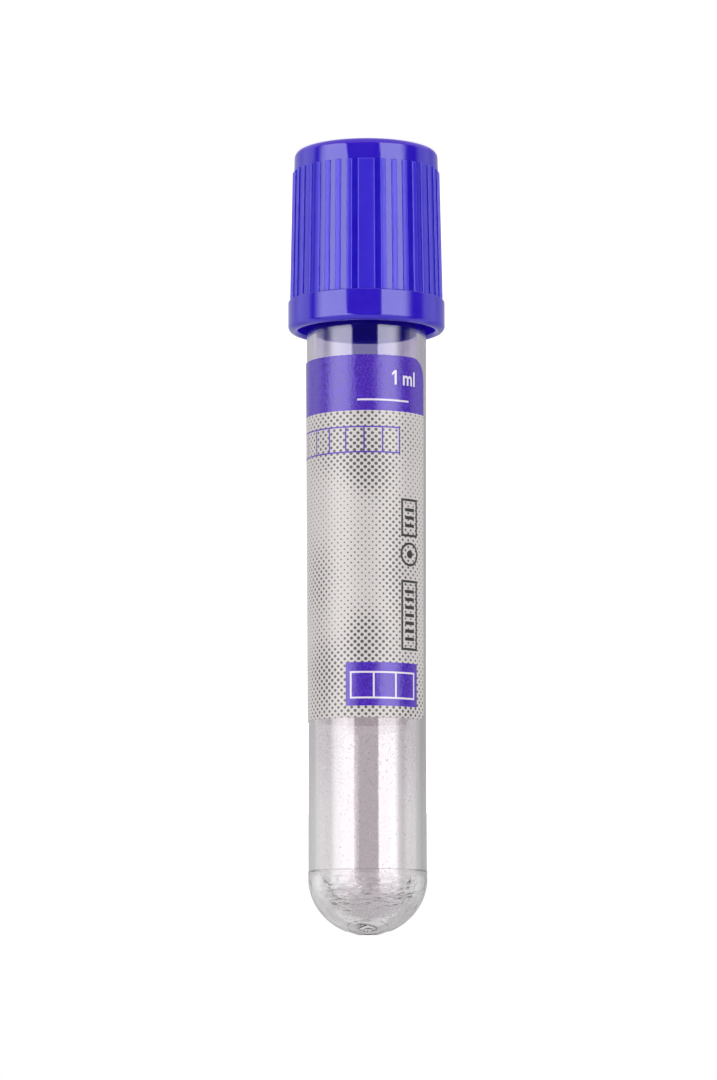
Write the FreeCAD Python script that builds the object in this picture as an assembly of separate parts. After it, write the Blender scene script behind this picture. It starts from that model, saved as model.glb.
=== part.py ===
"""Evacuated blood collection tube, 13 x 75 mm, with a ribbed closure. Millimetres.

The assembly stands on its closure: z = 0 is the closure's flat top, the axis is Z and the tube's
round end is uppermost. The front of the label faces -Y.
"""

import FreeCAD, Part
import math
import os

from FreeCAD import Vector

# ---------------------------------------------------------------- driving dimensions
# Tube: a drafted moulding with a parallel end stretch and a round end.
TUBE_LENGTH = 75.0
MOUTH_RADIUS = 6.50  # outside, at the open mouth
TUBE_DRAFT = 0.23  # how much slimmer the parallel end stretch is, on the radius
MOUTH_WALL = 1.00
END_WALL = 1.05
PARTING_STEP = 0.04  # how far the round end stands proud of the wall at the parting line
PARTING_HEIGHT = 6.70  # from the tip
DOME_FLATTENING = 0.38  # how much lower the round end is than a half sphere
SHOULDER_INSET = 1.00  # how much tighter the shoulder arc is than a half sphere
BORE_FLATTENING = 0.20
BORE_SHOULDER_INSET = 0.60
BOTTOM_THICKNESS = 1.30
GATE_RADIUS = 1.15  # recess left round the injection gate
GATE_DEPTH = 0.20
NUB_RADIUS = 0.50
NUB_HEIGHT = 0.15
LIP_ROUNDING = 0.20

# Closure: a ribbed shell round a rubber stopper.
CAP_HEIGHT = 19.8
MOUTH_DEPTH = 9.5  # from the closure's top to the tube's mouth
TOP_THICKNESS = 2.2
TOP_ROUNDING = 0.70
BAND_HEIGHT = 2.3  # plain band above the ribs
BAND_DRAFT = 0.06
SHELL_WALL = 0.81  # between the ribs, at their top end
SHELL_DRAFT = 0.28  # how much wider the shell is where the ribs meet the skirt
RIB_RELIEF = 0.155
RIB_WIDTH = 0.62
WIDE_RIB_WIDTH = 1.86
NARROW_RIBS = 8  # in each quarter, between two wide ribs
FIRST_RIB_ANGLE = 13.1  # from a wide rib to the next narrow one, degrees
SKIRT_HEIGHT = 3.3
SKIRT_GAP = 0.87  # between the tube and the skirt's mouth
SKIRT_WALL = 1.08
SKIRT_ROUNDING = 0.65
SKIRT_SHOULDER_ROUNDING = 0.12
SKIRT_MOUTH_ROUNDING = 0.40
PORT_RADIUS = 4.1  # hole that bares the stopper to the needle
PORT_CHAMFER = 0.30
RING_HEIGHT = 0.8  # ring that keeps the stopper in the shell
RING_REACH = 0.25  # how far it reaches under the stopper's flange
PLUG_LENGTH = 7.0
PLUG_CUP_RADIUS = 3.0
PLUG_CUP_DEPTH = 3.6
PLUG_ROUNDING = 0.5
DIMPLE_RADIUS = 2.6  # thin place that the needle goes through
DIMPLE_DEPTH = 0.9

# Label: one wrap of film, short of closing.
LABEL_OFFSET = 3.5  # from the closure's skirt
LABEL_HEIGHT = 38.6
LABEL_THICKNESS = 0.10
LABEL_EDGE_ANGLE = 68.8  # from the front to the label's near edge, degrees
LABEL_GAP_ANGLE = 55.0  # clear strip between the label's two edges
LABEL_CORNER = 2.3  # towards the closure
LABEL_END_CORNER = 0.9  # towards the round end

# Additive: dried crusts on the inside of the wall beyond the label and of the round end.
WALL_CRUSTS = 36
DOME_CRUSTS = 18
CRUST_SIDES = 7
CRUST_RADIUS = 0.32
CRUST_TOP_RADIUS = 0.18
CRUST_RISE = 0.09

# Clearances
PLUG_CLEARANCE = 0.05  # stopper in the tube's bore, radial
FLANGE_CLEARANCE = 0.05  # stopper in the shell, radial
RING_CLEARANCE = 0.20  # shell's retaining ring round the tube, radial
RING_GAP = 0.10  # retaining ring under the stopper's flange
CRUST_CLEARANCE = 0.002  # a crust's corners in the bore

# ---------------------------------------------------------------- derived places
TIP_Z = MOUTH_DEPTH + TUBE_LENGTH
PARTING_Z = TIP_Z - PARTING_HEIGHT
SKIRT_Z = CAP_HEIGHT - SKIRT_HEIGHT
LABEL_START_Z = CAP_HEIGHT + LABEL_OFFSET
LABEL_END_Z = LABEL_START_Z + LABEL_HEIGHT
PARALLEL_Z = LABEL_END_Z  # the draft ends where the label does
END_RADIUS = MOUTH_RADIUS - TUBE_DRAFT
MOUTH_BORE_RADIUS = MOUTH_RADIUS - MOUTH_WALL
END_BORE_RADIUS = END_RADIUS - END_WALL
DOME_RADIUS = END_RADIUS + PARTING_STEP
BORE_DOME_HEIGHT = END_BORE_RADIUS - BORE_FLATTENING
BORE_TIP_Z = TIP_Z - BOTTOM_THICKNESS
BORE_SHOULDER_Z = BORE_TIP_Z - BORE_DOME_HEIGHT
RING_RADIUS = MOUTH_RADIUS + RING_CLEARANCE
FLANGE_RADIUS = RING_RADIUS + RING_REACH
POCKET_RADIUS = FLANGE_RADIUS + FLANGE_CLEARANCE
GROUND_TOP_RADIUS = POCKET_RADIUS + SHELL_WALL
GROUND_LOW_RADIUS = GROUND_TOP_RADIUS + SHELL_DRAFT
BAND_RADIUS = GROUND_TOP_RADIUS - BAND_DRAFT
SKIRT_MOUTH_RADIUS = MOUTH_RADIUS + SKIRT_GAP
SKIRT_RADIUS = SKIRT_MOUTH_RADIUS + SKIRT_WALL
GOLDEN_ANGLE = 180 * (3 - math.sqrt(5))
FRONT_ANGLE = 270


# ---------------------------------------------------------------- construction
def at(r, z):
    """Point on the half plane that outlines are drawn on."""
    return Vector(r, 0, z)


def rounded_outline(corners):
    """Closed edges through (r, z) corners; a third value rounds its corner with that radius."""
    count = len(corners)
    starts, ends, edges = [], [], []
    for index, corner in enumerate(corners):
        here = at(*corner[:2])
        radius = corner[2] if len(corner) > 2 else 0
        if not radius:
            starts.append(here)
            ends.append(here)
            continue
        back = (at(*corners[index - 1][:2]) - here).normalize()
        ahead = (at(*corners[(index + 1) % count][:2]) - here).normalize()
        half = back.getAngle(ahead) / 2
        reach = radius / math.tan(half)
        centre = here + (back + ahead).normalize() * (radius / math.sin(half))
        middle = centre + (here - centre).normalize() * radius
        starts.append(here + back * reach)
        ends.append(here + ahead * reach)
        edges.append(Part.Arc(starts[-1], middle, ends[-1]).toShape())
    for index in range(count):
        edges.append(Part.makeLine(ends[index - 1], starts[index]))
    return edges


def turned(edges, angle=360.0):
    """Solid that a closed outline sweeps about the Z axis."""
    wire = Part.Wire(Part.__sortEdges__(edges))
    return Part.Face(wire).revolve(Vector(0, 0, 0), Vector(0, 0, 1), angle)


def pole_radius(radius, height, shoulder):
    """Radius of the arc over the pole that runs on smoothly from the shoulder arc."""
    return ((radius - shoulder) ** 2 + height**2 - shoulder**2) / (2 * (height - shoulder))


def dome_edges(radius, height, shoulder, base_z):
    """Quarter outline of a round end that starts at (radius, base_z) and closes on the axis."""
    pole = pole_radius(radius, height, shoulder)
    shoulder_centre = at(radius - shoulder, base_z)
    pole_centre = at(0, base_z + height - pole)
    out = (shoulder_centre - pole_centre).normalize()
    joint = shoulder_centre + out * shoulder
    bisector = (out + Vector(1, 0, 0)).normalize()
    shoulder_middle = shoulder_centre + bisector * shoulder
    pole_middle = pole_centre + (out + Vector(0, 0, 1)).normalize() * pole
    top = at(0, base_z + height)
    return [
        Part.Arc(at(radius, base_z), shoulder_middle, joint).toShape(),
        Part.Arc(joint, pole_middle, top).toShape(),
    ]


def chain(*points):
    """Straight edges through the points in turn."""
    return [Part.makeLine(p, q) for p, q in zip(points, points[1:])]


def bore_radius(z):
    """Radius of the tube's drafted bore."""
    share = (z - MOUTH_DEPTH) / (BORE_SHOULDER_Z - MOUTH_DEPTH)
    return MOUTH_BORE_RADIUS + share * (END_BORE_RADIUS - MOUTH_BORE_RADIUS)


def wall_radius(z):
    """Outside radius of the tube's drafted wall, down to its parallel end."""
    share = min(1, (z - MOUTH_DEPTH) / (PARALLEL_Z - MOUTH_DEPTH))
    return MOUTH_RADIUS + share * (END_RADIUS - MOUTH_RADIUS)


def on_axis_cylinder(radius, low, high):
    return Part.makeCylinder(radius, high - low, Vector(0, 0, low))


# ---------------------------------------------------------------- tube
def bore():
    """Everything inside the tube, from its mouth to the inner round end."""
    edges = chain(
        at(0, BORE_TIP_Z),
        at(0, MOUTH_DEPTH),
        at(MOUTH_BORE_RADIUS, MOUTH_DEPTH),
        at(END_BORE_RADIUS, BORE_SHOULDER_Z),
    )
    shoulder = END_BORE_RADIUS - BORE_SHOULDER_INSET
    edges += dome_edges(END_BORE_RADIUS, BORE_DOME_HEIGHT, shoulder, BORE_SHOULDER_Z)
    return turned(edges)


def tube():
    height = DOME_RADIUS - DOME_FLATTENING
    shoulder = DOME_RADIUS - SHOULDER_INSET
    pole = pole_radius(DOME_RADIUS, height, shoulder)
    # the recess takes the very pole away, so the round end runs this far past the tip
    hidden = pole - math.sqrt(pole**2 - GATE_RADIUS**2)
    base_z = TIP_Z + hidden - height
    edges = chain(
        at(0, base_z + height),
        at(0, MOUTH_DEPTH),
        at(MOUTH_RADIUS, MOUTH_DEPTH),
        at(END_RADIUS, PARALLEL_Z),
        at(END_RADIUS, PARTING_Z),
        at(DOME_RADIUS, PARTING_Z),
        at(DOME_RADIUS, base_z),
    )
    edges += dome_edges(DOME_RADIUS, height, shoulder, base_z)
    outside = turned(edges)
    floor_z = TIP_Z - GATE_DEPTH
    recess = on_axis_cylinder(GATE_RADIUS, floor_z, TIP_Z + GATE_DEPTH)
    nub = on_axis_cylinder(NUB_RADIUS, floor_z, floor_z + NUB_HEIGHT)
    body = outside.cut([bore(), recess.cut(nub)])
    lip = [
        edge
        for edge in body.Edges
        if abs(edge.CenterOfMass.z - MOUTH_DEPTH) < 1e-6 and edge.BoundBox.ZLength < 1e-6
    ]
    return body.makeFillet(LIP_ROUNDING, lip)


# ---------------------------------------------------------------- label
def corner_cutter(angle, side, z, end, radius):
    """What rounding takes off the corner of the film at this angle and height.

    side and end are 1 or -1 and point out of the film, along its turn and along Z.
    """
    wall = wall_radius(z)
    centre_z = z - end * radius
    length = 2 * radius
    block = Part.makeBox(
        wall, length, length, Vector(wall / 2, min(0, side * length), centre_z + min(0, end * length))
    )
    cutter = block.cut(Part.makeCylinder(radius, wall, Vector(wall / 2, 0, centre_z), Vector(1, 0, 0)))
    inset = math.degrees(math.asin(radius / wall))
    cutter.rotate(Vector(0, 0, 0), Vector(0, 0, 1), angle - side * inset)
    return cutter


def label():
    """Film on the drafted wall, rounded at its corners."""
    edges = chain(
        at(wall_radius(LABEL_START_Z), LABEL_START_Z),
        at(wall_radius(LABEL_START_Z) + LABEL_THICKNESS, LABEL_START_Z),
        at(wall_radius(LABEL_END_Z) + LABEL_THICKNESS, LABEL_END_Z),
        at(wall_radius(LABEL_END_Z), LABEL_END_Z),
        at(wall_radius(LABEL_START_Z), LABEL_START_Z),
    )
    wrap = 360 - LABEL_GAP_ANGLE
    film = turned(edges, wrap)
    cutters = []
    for angle, side in ((0, -1), (wrap, 1)):
        cutters.append(corner_cutter(angle, side, LABEL_START_Z, -1, LABEL_CORNER))
        cutters.append(corner_cutter(angle, side, LABEL_END_Z, 1, LABEL_END_CORNER))
    film = film.cut(cutters)
    film.rotate(Vector(0, 0, 0), Vector(0, 0, 1), FRONT_ANGLE - LABEL_EDGE_ANGLE)
    return film


# ---------------------------------------------------------------- closure
def ribs():
    """Grip ribs of a quarter, repeated round the shell, all cut from one drafted ring."""
    inner = GROUND_TOP_RADIUS - RIB_RELIEF
    crown = turned(
        chain(
            at(inner, BAND_HEIGHT),
            at(GROUND_TOP_RADIUS + RIB_RELIEF, BAND_HEIGHT),
            at(GROUND_LOW_RADIUS + RIB_RELIEF, SKIRT_Z),
            at(inner, SKIRT_Z),
            at(inner, BAND_HEIGHT),
        )
    )
    pitch = (90 - 2 * FIRST_RIB_ANGLE) / (NARROW_RIBS - 1)
    places = [(0, WIDE_RIB_WIDTH)]
    places += [(FIRST_RIB_ANGLE + pitch * k, RIB_WIDTH) for k in range(NARROW_RIBS)]
    slabs = []
    for quarter in range(4):
        for angle, width in places:
            slab = Part.makeBox(SKIRT_RADIUS, width, CAP_HEIGHT, Vector(inner / 2, -width / 2, 0))
            slab.rotate(Vector(0, 0, 0), Vector(0, 0, 1), FRONT_ANGLE + 90 * quarter + angle)
            slabs.append(slab)
    return crown.common(Part.makeCompound(slabs)).Solids


def cap_shell():
    ring_z = MOUTH_DEPTH + RING_GAP
    ring_end_z = ring_z + RING_HEIGHT
    outside = rounded_outline(
        [
            (PORT_RADIUS, PORT_CHAMFER),
            (PORT_RADIUS + PORT_CHAMFER, 0),
            (BAND_RADIUS, 0, TOP_ROUNDING),
            (GROUND_TOP_RADIUS, BAND_HEIGHT),
            (GROUND_LOW_RADIUS, SKIRT_Z),
            (SKIRT_RADIUS, SKIRT_Z, SKIRT_SHOULDER_ROUNDING),
            (SKIRT_RADIUS, CAP_HEIGHT, SKIRT_ROUNDING),
            (SKIRT_MOUTH_RADIUS, CAP_HEIGHT, SKIRT_MOUTH_ROUNDING),
            (POCKET_RADIUS, ring_end_z + RING_GAP),
            (RING_RADIUS, ring_end_z),
            (RING_RADIUS, ring_z),
            (POCKET_RADIUS, ring_z),
            (POCKET_RADIUS, TOP_THICKNESS),
            (PORT_RADIUS, TOP_THICKNESS),
        ]
    )
    return turned(outside).fuse(ribs()).removeSplitter()


def rubber_stopper():
    plug_end_z = MOUTH_DEPTH + PLUG_LENGTH
    cup_z = plug_end_z - PLUG_CUP_DEPTH
    outline = rounded_outline(
        [
            (0, TOP_THICKNESS + DIMPLE_DEPTH),
            (DIMPLE_RADIUS, TOP_THICKNESS + DIMPLE_DEPTH, DIMPLE_DEPTH / 2),
            (DIMPLE_RADIUS + DIMPLE_DEPTH / 2, TOP_THICKNESS),
            (FLANGE_RADIUS, TOP_THICKNESS),
            (FLANGE_RADIUS, MOUTH_DEPTH),
            (bore_radius(MOUTH_DEPTH) - PLUG_CLEARANCE, MOUTH_DEPTH),
            (bore_radius(plug_end_z) - PLUG_CLEARANCE, plug_end_z, PLUG_ROUNDING),
            (PLUG_CUP_RADIUS, plug_end_z, PLUG_ROUNDING),
            (PLUG_CUP_RADIUS - PLUG_ROUNDING, cup_z, PLUG_ROUNDING),
            (0, cup_z),
        ]
    )
    return turned(outline)


# ---------------------------------------------------------------- additive
def crust(foot, outward, hollow_radius):
    """Flat-faced crust with the corners of its foot on a hollow of this radius behind the foot point."""
    aside = outward.cross(Vector(0, 0, 1)).normalize()
    along = aside.cross(outward)
    sag = hollow_radius - math.sqrt(hollow_radius**2 - CRUST_RADIUS**2) + CRUST_CLEARANCE
    outlines = []
    for radius, rise in ((CRUST_RADIUS, 0), (CRUST_TOP_RADIUS, CRUST_RISE)):
        centre = foot - outward * (sag + rise)
        corners = []
        for corner in range(CRUST_SIDES + 1):
            turn = 2 * math.pi * corner / CRUST_SIDES
            corners.append(centre + (aside * math.cos(turn) + along * math.sin(turn)) * radius)
        outlines.append(Part.makePolygon(corners))
    return Part.makeLoft(outlines, True, True)


def edta_additive():
    """Crusts spread by the golden angle over the wall beyond the label and over the round end."""
    crusts = []
    span = BORE_SHOULDER_Z - LABEL_END_Z
    for index in range(WALL_CRUSTS):
        turn = math.radians(GOLDEN_ANGLE * index)
        z = LABEL_END_Z + span * (index + 0.5) / WALL_CRUSTS
        outward = Vector(math.cos(turn), math.sin(turn), 0)
        # the wall narrows towards the round end, so the crust follows its narrower side
        radius = bore_radius(z + CRUST_RADIUS)
        crusts.append(crust(outward * radius + Vector(0, 0, z), outward, radius))
    shoulder = END_BORE_RADIUS - BORE_SHOULDER_INSET
    pole = pole_radius(END_BORE_RADIUS, BORE_DOME_HEIGHT, shoulder)
    pole_centre = Vector(0, 0, BORE_TIP_Z - pole)
    reach = math.asin(BORE_SHOULDER_INSET / (pole - shoulder))
    for index in range(DOME_CRUSTS):
        turn = math.radians(GOLDEN_ANGLE * index)
        tilt = reach * math.sqrt((index + 0.5) / DOME_CRUSTS)
        outward = Vector(
            math.sin(tilt) * math.cos(turn),
            math.sin(tilt) * math.sin(turn),
            math.cos(tilt),
        )
        crusts.append(crust(pole_centre + outward * pole, outward, shoulder))
    return Part.makeCompound(crusts)


# ---------------------------------------------------------------- files
NODES = {
    "tube": tube,
    "label": label,
    "cap_shell": cap_shell,
    "rubber_stopper": rubber_stopper,
    "edta_additive": edta_additive,
}

os.makedirs("parts", exist_ok=True)
for name, make in NODES.items():
    make().exportStep(os.path.join("parts", name + ".step"))
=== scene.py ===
"""A 13 x 75 mm blood collection tube with a ribbed closure, drawn round its packed solid model.

The tube stands on its closure, as the solid model does: the axis is Z, the round end is uppermost
and the front of the label faces -Y. The camera is rolled so that the closure is at the top.
"""

import math
import random

import bmesh
import bpy
from bpy.props import FloatProperty, FloatVectorProperty, IntProperty, PointerProperty, StringProperty
from mathutils import Matrix, Vector, noise


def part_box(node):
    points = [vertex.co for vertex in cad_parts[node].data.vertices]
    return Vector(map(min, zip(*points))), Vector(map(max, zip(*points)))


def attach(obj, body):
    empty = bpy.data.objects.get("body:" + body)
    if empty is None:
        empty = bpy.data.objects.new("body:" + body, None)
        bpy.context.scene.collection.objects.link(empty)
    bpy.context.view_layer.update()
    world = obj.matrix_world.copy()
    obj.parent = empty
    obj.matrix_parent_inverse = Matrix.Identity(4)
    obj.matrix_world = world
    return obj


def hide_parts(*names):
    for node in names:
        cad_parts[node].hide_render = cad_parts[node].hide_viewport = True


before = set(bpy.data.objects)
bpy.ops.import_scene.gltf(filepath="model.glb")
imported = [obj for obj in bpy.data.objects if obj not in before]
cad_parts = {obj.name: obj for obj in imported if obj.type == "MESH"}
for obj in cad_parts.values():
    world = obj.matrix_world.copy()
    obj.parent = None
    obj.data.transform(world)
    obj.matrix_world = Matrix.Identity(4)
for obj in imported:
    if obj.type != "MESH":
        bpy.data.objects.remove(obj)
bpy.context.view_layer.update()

bl_info = {
    "name": "Blood collection tube",
    "version": (1, 0, 0),
    "blender": (4, 5, 0),
    "location": "View3D > Sidebar > Blood Tube",
    "description": "Builds a ribbed closure, a clear tube, its label and its dried additive",
    "category": "Add Mesh",
}

MM = 0.001
WHITE = (1.0, 1.0, 1.0)
FLOOR_GAP = 0.02 * MM  # keeps the floor clear of the closure's flat top
ORIGIN = (0.0, 0.0, 0.0)
UP = (0.0, 0.0, 1.0)
FRONT = math.radians(270)  # the label's front faces -Y
MERGE = 1e-7  # vertices nearer than this are one
TURN_STEPS = 96  # steps round the turned shapes that are hardly seen

# Places that the solid model settles
MOUTH_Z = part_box("tube")[0].z
TIP_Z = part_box("tube")[1].z
MOUTH_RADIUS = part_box("tube")[1].x
CAP_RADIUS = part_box("cap_shell")[1].x
CAP_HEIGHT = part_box("cap_shell")[1].z
LABEL_START_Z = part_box("label")[0].z
LABEL_END_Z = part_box("label")[1].z
STOPPER_TOP_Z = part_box("rubber_stopper")[0].z
PLUG_END_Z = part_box("rubber_stopper")[1].z
FLANGE_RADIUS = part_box("rubber_stopper")[1].x

# Where the label's dots are larger: middle round the tube and along it and half sizes, in
# millimetres, and how much larger
DARKER_PLACES = (
    (0.0, 35.4, 3.2, 4.2, 0.60),
    (-0.2, 53.2, 3.2, 4.0, 0.62),
    (-6.4, 47.5, 3.2, 6.5, 0.42),
    (-5.4, 56.0, 3.6, 5.0, 0.35),
    (4.6, 46.5, 3.0, 12.0, 0.34),
    (2.3, 44.0, 2.0, 15.0, 0.34),
    (0.0, 59.6, 14.0, 7.5, 0.44),
    (-2.0, 31.6, 12.0, 6.2, 0.46),
)


# ---------------------------------------------------------------- settings
def number(label, description, default, **more):
    return FloatProperty(name=label, description=description, default=default, **more)


def length(label, description, millimetres):
    return number(label, description, millimetres * MM, unit="LENGTH", precision=5)


def turn(label, description, degrees):
    return number(label, description, math.radians(degrees), subtype="ANGLE")


def count(label, description, default, least):
    return IntProperty(name=label, description=description, default=default, min=least)


def colour(label, description, *rgb):
    return FloatVectorProperty(
        name=label, description=description, default=rgb, subtype="COLOR", size=3, min=0, max=1
    )


class TubeSettings(bpy.types.PropertyGroup):
    """Sizes and tint of the clear tube."""

    draft: length("Draft", "How much slimmer the parallel end stretch is, on the radius", 0.23)
    mouth_wall: length("Mouth wall", "Wall thickness at the mouth", 1.0)
    end_wall: length("End wall", "Wall thickness at the round end", 1.05)
    lip: length("Lip rounding", "Rounding of the mouth's two edges", 0.2)
    parting_step: length("Parting step", "How far the round end stands proud of the wall", 0.04)
    parting_height: length("Parting height", "From the tip to the parting line", 6.7)
    flattening: length("Flattening", "How much lower the round end is than a half sphere", 0.38)
    shoulder_inset: length("Shoulder inset", "How much tighter the shoulder arc is", 1.0)
    bore_flattening: length("Bore flattening", "The same for the bore's round end", 0.2)
    bore_inset: length("Bore inset", "The same for the bore's shoulder arc", 0.6)
    bottom: length("Bottom", "Thickness of the round end on the axis", 1.3)
    gate_radius: length("Gate radius", "Recess left round the injection gate", 1.15)
    gate_depth: length("Gate depth", "Depth of that recess", 0.2)
    nub_radius: length("Nub radius", "Stub of the gate in its recess", 0.5)
    nub_height: length("Nub height", "Height of that stub", 0.15)
    ring_radius: length("Ring radius", "Witness ring of the mould's pin round the gate", 2.3)
    ripple: length("Ripple", "Depth of the waves in the round end", 0.035)
    segments: count("Segments", "Steps round the tube", 192, 48)
    tint: colour("Tint", "What the plastic lets through", 0.725, 0.683, 0.708)
    # painted light and shade: aslant, rim, end_aslant and end_rim change the tint with the view and the
    # height, not the plastic's own colour
    aslant: colour("Tint aslant", "The same where the wall turns away", 0.76, 0.73, 0.75)
    rim: colour("Tint at the rim", "The same where the wall is seen edge on", 0.525, 0.492, 0.535)
    # painted reflection of the closure's violet on the wall beside it, and painted shade where that wall
    # faces the eye
    cast: colour("Cast", "The same beside the closure, whose violet it picks up", 0.620, 0.583, 0.710)
    painted_shade_ahead: colour("Cast ahead", "The same where that wall faces the eye", 0.475, 0.450, 0.655)
    end_aslant: colour("End aslant", "Tint aslant towards the round end", 0.85, 0.84, 0.845)
    end_rim: colour("End rim", "Tint at the rim towards the round end", 0.64, 0.61, 0.64)
    # painted shade: darker round the gate
    gate_painted_shade: colour("Gate tint", "Tint of the darkened place round the gate", 0.56, 0.525, 0.545)


class LabelSettings(bpy.types.PropertyGroup):
    """Sizes and inks of the label and its print."""

    thickness: length("Thickness", "Thickness of the film", 0.1)
    edge: turn("Edge", "From the front to the label's near edge", 68.8)
    gap: turn("Gap", "Clear strip between the label's two edges", 55.0)
    corner: length("Corner", "Corner rounding towards the closure", 2.3)
    end_corner: length("End corner", "Corner rounding towards the round end", 0.9)
    band: length("Band", "Height of the coloured band", 6.0)
    dot_pitch: length("Dot pitch", "Spacing of the dots round the tube", 0.756)
    dot_rows: length("Dot rows", "Spacing of the rows of dots", 0.364)
    slices: count("Slices", "Bends round the tube", 122, 24)
    ground: colour("Ground", "Unprinted film", 0.662, 0.620, 0.612)
    ink: colour("Ink", "Violet ink of the band and the field", 0.066, 0.018, 0.415)
    dots: colour("Dots", "Grey ink of the dots", 0.075, 0.068, 0.070)
    mark: StringProperty(name="Mark", description="Volume that the tube draws", default="1 ml")


class ClosureSettings(bpy.types.PropertyGroup):
    """Sizes and colours of the ribbed shell and its rubber stopper."""

    top: length("Top", "Thickness of the shell's top", 2.2)
    band_radius: length("Band radius", "Outside of the plain band", 7.75)
    band_height: length("Band height", "From the top to where the ribs begin", 2.3)
    ground_top: length("Ground, top", "Radius between the ribs at the band", 7.81)
    ground_low: length("Ground, low", "Radius between the ribs at the skirt", 8.09)
    relief: length("Relief", "How far the ribs stand proud", 0.155)
    rib: length("Rib", "Width of a narrow rib", 0.62)
    wide_rib: length("Wide rib", "Width of the wide rib of each quarter", 1.86)
    first_rib: turn("First rib", "From a wide rib to the next narrow one", 13.1)
    ribs: count("Ribs", "Narrow ribs in a quarter", 8, 2)
    skirt_height: length("Skirt height", "Height of the plain skirt", 3.3)
    skirt_mouth: length("Skirt mouth", "Radius of the skirt's opening", 7.37)
    pocket: length("Pocket", "Radius of the space that holds the stopper's flange", 7.0)
    ring_gap: length("Ring gap", "Slack under the stopper's flange", 0.1)
    ring_height: length("Ring height", "Height of the ring that keeps the stopper in", 0.8)
    ring_radius: length("Ring radius", "Inside of that ring", 6.7)
    port: length("Port", "Radius of the hole that bares the stopper", 4.1)
    port_chamfer: length("Port chamfer", "Chamfer of that hole", 0.3)
    plug_clearance: length("Plug clearance", "Stopper in the tube's bore", 0.05)
    cup_radius: length("Cup radius", "Hollow in the plug's end", 3.0)
    cup_depth: length("Cup depth", "Depth of that hollow", 3.6)
    dimple_radius: length("Dimple radius", "Thin place that the needle goes through", 2.6)
    dimple_depth: length("Dimple depth", "Depth of that place", 0.9)
    plastic: colour("Plastic", "Violet plastic of the shell", 0.029, 0.0075, 0.54)
    # painted shade: darker between the ribs, where they shade the ground
    groove: colour("Groove", "The same between the ribs", 0.016, 0.004, 0.52)
    # painted highlight: lighter along the ribs' rounded edges, where they catch the light
    edge: colour("Edge", "The same along the ribs' highlighted edges", 0.090, 0.062, 0.70)
    # painted sheen: the ribs' satin faces are made lighter than the plastic, for the light that they
    # spread
    rib_sheen: colour("Lighter plastic", "The same on the satin faces of the ribs", 0.027, 0.006, 0.62)
    # painted glow, standing in for light through the skirt's wall
    glow: colour("Glow", "Light that comes through the skirt's wall", 0.002, 0.0, 0.11)
    rubber: colour("Rubber", "Deep blue rubber of the stopper", 0.006, 0.004, 0.36)


class AdditiveSettings(bpy.types.PropertyGroup):
    """Amount and colour of the additive dried on the inside."""

    specks: count("Specks", "Dried specks on the wall", 3200, 0)
    smallest: length("Smallest", "Radius of the smallest speck", 0.035)
    largest: length("Largest", "Radius of the largest speck", 0.11)
    salt: colour("Salt", "Colour of the dried additive", 0.66, 0.65, 0.66)


class StudioSettings(bpy.types.PropertyGroup):
    """Floor, lamps, reflected panels and camera."""

    floor: colour("Floor", "Floor and backdrop", 0.6, 0.6, 0.6)
    fill: number("Fill", "Strength of the light from all round", 0.40)
    lamp: number("Lamp", "Power of each lamp", 5.0, unit="POWER")
    panel: number("Panel", "Brightness of the reflected panels", 5.2)
    dark: number("Dark", "Brightness between the reflected panels", 0.03)
    room: number("Room", "The same for refractions", 0.3)
    behind: number("Behind", "The same straight through", 1.0)
    lens: number("Lens", "Focal length in millimetres", 133.3)
    distance: length("Distance", "From the tube's axis to the camera", 425.3)
    eye_height: length("Eye height", "Camera above the floor", 96.6)
    aside: length("Aside", "Camera to the side of the axis", 1.02)
    tilt: turn("Tilt", "How far the camera looks down", 7.268)
    roll: turn("Roll", "How far the camera leans", -0.12)


# ---------------------------------------------------------------- mesh helpers
def only_verts(items):
    return [item for item in items if isinstance(item, bmesh.types.BMVert)]


def face_outwards(bm):
    bmesh.ops.recalc_face_normals(bm, faces=bm.faces[:])


def tidy(bm, nearest=MERGE):
    bmesh.ops.remove_doubles(bm, verts=bm.verts[:], dist=nearest)
    face_outwards(bm)


def from_axis(place):
    return math.hypot(place.x, place.y)


class Outline:
    """A line in the XZ half plane that grows corner by corner and is spun into a turned shape."""

    def __init__(self, bm, radius, height):
        self.bm = bm
        self.tip = bm.verts.new((radius, 0, height))

    def line(self, radius, height):
        """Run straight on to a corner, and return it."""
        self.tip = bmesh.ops.extrude_vert_indiv(self.bm, verts=[self.tip])["verts"][0]
        self.tip.co = (radius, 0, height)
        return self.tip

    def lines(self, *corners):
        return [self.line(*corner) for corner in corners]

    def arc(self, centre_radius, centre_height, angle, steps):
        """Run on round a centre; a positive angle turns from outwards to upwards."""
        centre = (centre_radius, 0, centre_height)
        swept = bmesh.ops.spin(
            self.bm, geom=[self.tip], cent=centre, axis=(0, -1, 0), angle=angle, steps=steps
        )
        self.tip = only_verts(swept["geom_last"])[0]

    def close(self, first):
        self.bm.edges.new((self.tip, first))


def bevel(bm, geometry, offset, segments, affect):
    bmesh.ops.bevel(
        bm,
        geom=geometry,
        offset=offset,
        segments=segments,
        profile=0.5,
        affect=affect,
        material=-1,
        clamp_overlap=affect == "EDGES",
    )


def round_corner(bm, corner, radius, segments=4):
    """Round a corner of an outline with an arc of this radius."""
    ways = [(edge.other_vert(corner).co - corner.co).normalized() for edge in corner.link_edges]
    reach = radius / math.tan(ways[0].angle(ways[1]) / 2)
    bevel(bm, [corner], reach, segments, "VERTICES")


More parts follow.
